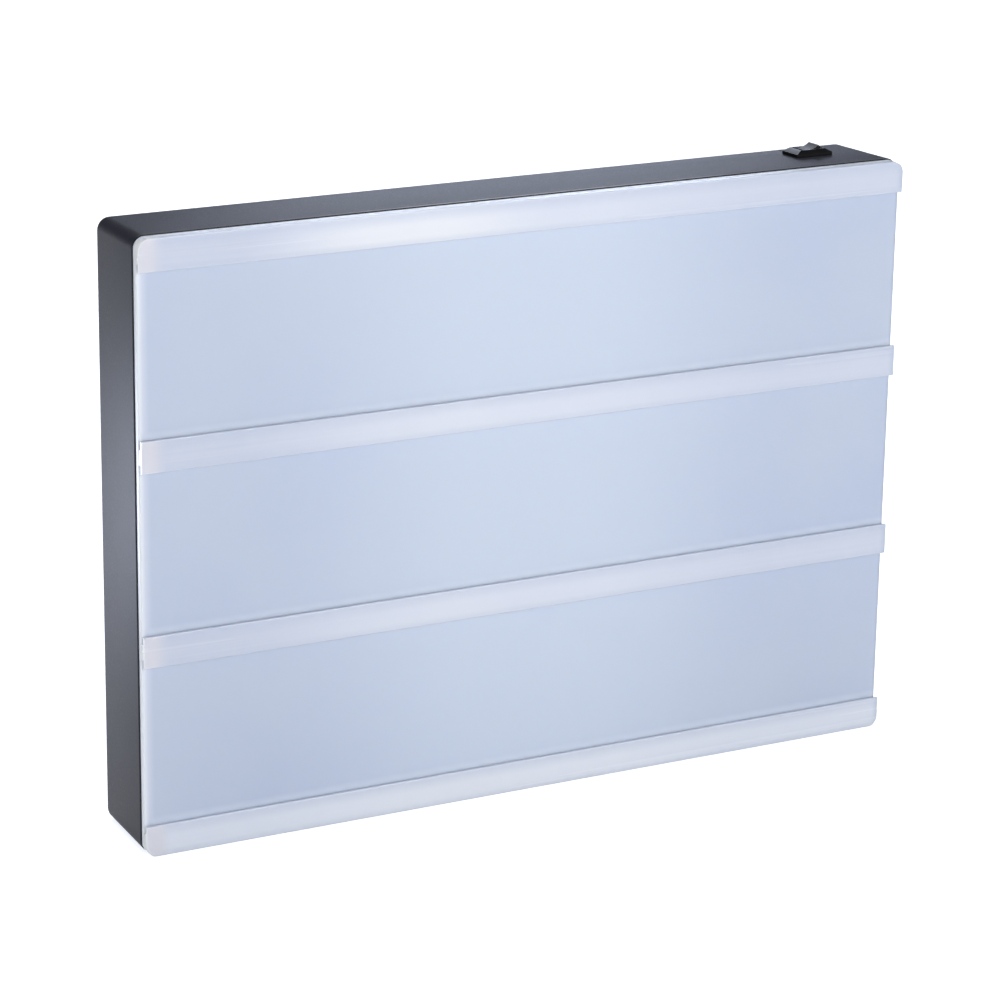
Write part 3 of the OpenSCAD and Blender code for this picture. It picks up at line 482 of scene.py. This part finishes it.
def smooth_group():
    """Geometry nodes that weld a mesh's doubled points and shade it smooth below an angle."""
    group = bpy.data.node_groups.new("smooth_by_angle", "GeometryNodeTree")
    group.interface.new_socket("Geometry", in_out="INPUT", socket_type="NodeSocketGeometry")
    group.interface.new_socket("Geometry", in_out="OUTPUT", socket_type="NodeSocketGeometry")
    tree = Tree(group)
    bend = tree.add("GeometryNodeInputMeshEdgeAngle").outputs["Unsigned Angle"]
    flat = tree.add("FunctionNodeCompare", {0: bend, 1: SMOOTH_ANGLE}, operation="LESS_EQUAL").outputs[0]
    mesh = tree.add("NodeGroupInput").outputs[0]
    for kind, inputs, settings in (
        ("GeometryNodeRemoveAttribute", {"Name": "custom_normal"}, {}),
        ("GeometryNodeMergeByDistance", {"Distance": WELD_DISTANCE}, {}),
        ("GeometryNodeSetShadeSmooth", {"Shade Smooth": flat}, {"domain": "EDGE"}),
        ("GeometryNodeSetShadeSmooth", {"Shade Smooth": True}, {"domain": "FACE"}),
    ):
        mesh = tree.add(kind, {"Geometry": mesh, **inputs}, **settings).outputs["Geometry"]
    tree.add("NodeGroupOutput", {0: mesh})
    return group


def dress_nodes():
    """Gives every CAD node its slot's material and smooths its round faces."""
    looks = make_looks()
    smoother = smooth_group()
    slots = {entry["node"]: entry["material_slot"] for entry in frame["record"]["subparts"]}
    for name, node in nodes.items():
        node.data.materials.clear()
        node.data.materials.append(looks[slots[name]])
        node.modifiers.new("smooth", "NODES").node_group = smoother


# ---- floor, world and lights ----

# The floor's own light: on rays from the camera, and in reflections and through glass
FLOOR_GLOW = 0.88
FLOOR_SHEEN = 0.45
FLOOR_TINT = (0.9, 0.93, 1, 1)
FLOOR_TONE = 0.65
FLOOR_HALF = 6.0
WORLD_TINT = (0.92, 0.96, 1, 1)
WORLD_LEVEL = 0.13
WHITE = (1, 1, 1)
COOL = (0.72, 0.8, 1)


def floor_white():
    """Pale floor that keeps the object's shadow and adds a light of its own by the kind of ray."""
    g = Graph("floor_white")
    rays = g.add("ShaderNodeLightPath").outputs
    seen = g.times(rays["Is Camera Ray"], FLOOR_GLOW)
    mirrored = g.times(rays["Is Glossy Ray"], FLOOR_SHEEN)
    through = g.times(rays["Is Transmission Ray"], FLOOR_SHEEN)
    level = g.math("MAXIMUM", g.math("MAXIMUM", seen, mirrored), through)
    tone = g.add("ShaderNodeBsdfDiffuse", {"Color": (FLOOR_TONE, FLOOR_TONE, FLOOR_TONE, 1)})
    glow = g.add("ShaderNodeEmission", {"Color": FLOOR_TINT, "Strength": level})
    return g.surface(g.add("ShaderNodeAddShader", {0: tone.outputs[0], 1: glow.outputs[0]}))


def make_floor():
    """A plain floor on which the object stands."""
    mesh = bpy.data.meshes.new("floor")
    corners = [(x * FLOOR_HALF, y * FLOOR_HALF, 0) for x, y in ((-1, -1), (1, -1), (1, 1), (-1, 1))]
    mesh.from_pydata(corners, [], [(0, 1, 2, 3)])
    floor = bpy.data.objects.new("floor", mesh)
    bpy.context.scene.collection.objects.link(floor)
    mesh.materials.append(floor_white())


def make_world():
    """An even pale surround."""
    world = bpy.data.worlds.new("studio")
    world.use_nodes = True
    back = world.node_tree.nodes["Background"]
    back.inputs["Color"].default_value = WORLD_TINT
    back.inputs["Strength"].default_value = WORLD_LEVEL
    bpy.context.scene.world = world


def softbox(name, place, aim, size, watts, tint=WHITE):
    """A rectangular lamp at place that faces aim. size is its width and height in metres."""
    data = bpy.data.lights.new(name, "AREA")
    data.shape = "RECTANGLE"
    data.size, data.size_y = size
    data.energy = watts
    data.color = tint
    lamp = bpy.data.objects.new(name, data)
    lamp.location = place
    lamp.rotation_euler = (Vector(aim) - Vector(place)).to_track_quat("-Z", "Y").to_euler()
    lamp.visible_camera = False
    bpy.context.scene.collection.objects.link(lamp)


def make_lights():
    """Soft light from the front, from above and from the left, and two small cool lamps behind the box."""
    softbox("key", (0.15, -1.15, 0.39), aim=(0, 0, 0.13), size=(1.0, 0.6), watts=10.1)
    softbox("above", (0, 0.65, 1.9), aim=(0, 0.1, 0.2), size=(1.2, 1.0), watts=22)
    softbox("left", (-1.4, -0.3, 0.35), aim=(-0.15, 0, 0.1), size=(0.8, 0.6), watts=5.5)
    softbox("behind", (0.452, 0.9, 0.47), aim=(0, 0, 0.22), size=(0.40, 0.25), watts=1.38, tint=COOL)
    softbox("left_low", (-0.29, 0.24, 0.05), aim=(-0.15, 0, 0.09), size=(0.10, 0.09), watts=0.24, tint=COOL)


make_camera()
make_floor()
make_world()
make_lights()
dress_nodes()

scene = bpy.context.scene
scene.view_settings.view_transform = "Standard"
